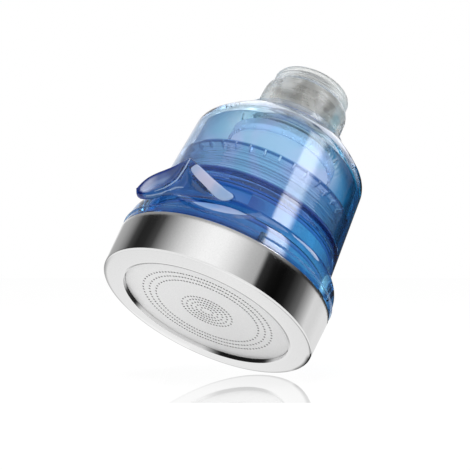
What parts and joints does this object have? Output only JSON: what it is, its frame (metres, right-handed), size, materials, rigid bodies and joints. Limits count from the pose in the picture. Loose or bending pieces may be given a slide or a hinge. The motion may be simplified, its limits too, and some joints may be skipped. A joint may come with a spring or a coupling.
{
  "type": "faucet mount water filter",
  "caption": "Faucet water filter with a swivelling threaded neck, a screw-on dome over a filter core, a lever-set diverter and a spray plate.",
  "frame": {"origin": "centre of the inlet thread at its shoulder, where the tap's end stops", "axes": "+Z along the long axis out of the inlet thread towards the tap, -Y the side that the lever's open end is seen from, +X to the right of that view"},
  "size_m": [0.06, 0.06, 0.0757],
  "materials": {
    "blue_clear_plastic": "clear blue, polished",
    "clear_plastic": "clear, polished",
    "cap_plastic": "milky clear",
    "white_plastic": "moulded satin",
    "filter_fleece": "pressed white fibre",
    "polished_metal": "polished",
    "spray_plate_steel": "fine satin with pierced rings",
    "stainless_steel": "turned",
    "black_rubber": "soft",
    "blue_rubber": "soft"
  },
  "bodies": {
    "base": {"lower_body": "blue_clear_plastic", "trim_ring": "polished_metal", "spray_plate": "spray_plate_steel", "plate_gasket": "black_rubber", "chamber_seal": "black_rubber", "distribution_plate": "white_plastic", "distribution_gasket": "black_rubber", "base_screws": "stainless_steel", "cartridge_gasket": "black_rubber", "cartridge_bottom_cap": "cap_plastic", "filter_core": "filter_fleece", "cartridge_top_cap": "cap_plastic"},
    "diverter": {"diverter_rotor": "blue_clear_plastic", "diverter_lever": "blue_clear_plastic", "lever_pin": "stainless_steel", "rotor_upper_o_ring": "black_rubber", "rotor_lower_o_ring": "black_rubber"},
    "dome_seal": {"dome_o_ring": "blue_rubber"},
    "dome": {"upper_dome": "blue_clear_plastic"},
    "neck": {"inlet_neck": "clear_plastic", "inlet_washer": "black_rubber", "inlet_strainer": "stainless_steel", "neck_o_ring": "black_rubber", "neck_retainer": "stainless_steel"}
  },
  "joints": [
    {"name": "lever_swing", "type": "hinge", "parent": "base", "child": "diverter", "pos_m": [0, 0, -0.04765], "axis": [0, 0, 1], "range_deg": [-22, 22]},
    {"name": "dome_rise", "type": "slide", "parent": "base", "child": "dome_seal", "axis": [0, 0, 1], "range_m": [0, 0.0085]},
    {"name": "dome_turn", "type": "hinge", "parent": "dome_seal", "child": "dome", "pos_m": [0, 0, -0.0364], "axis": [0, 0, 1], "range_deg": [0, 1260]},
    {"name": "neck_swivel", "type": "hinge", "parent": "dome", "child": "neck", "pos_m": [0, 0, -0.0104], "axis": [0, 0, 1], "continuous": true}
  ],
  "couplings": [
    {"joint": "dome_rise", "follows": "dome_turn", "m_per_rad": 0.00038197}
  ]
}
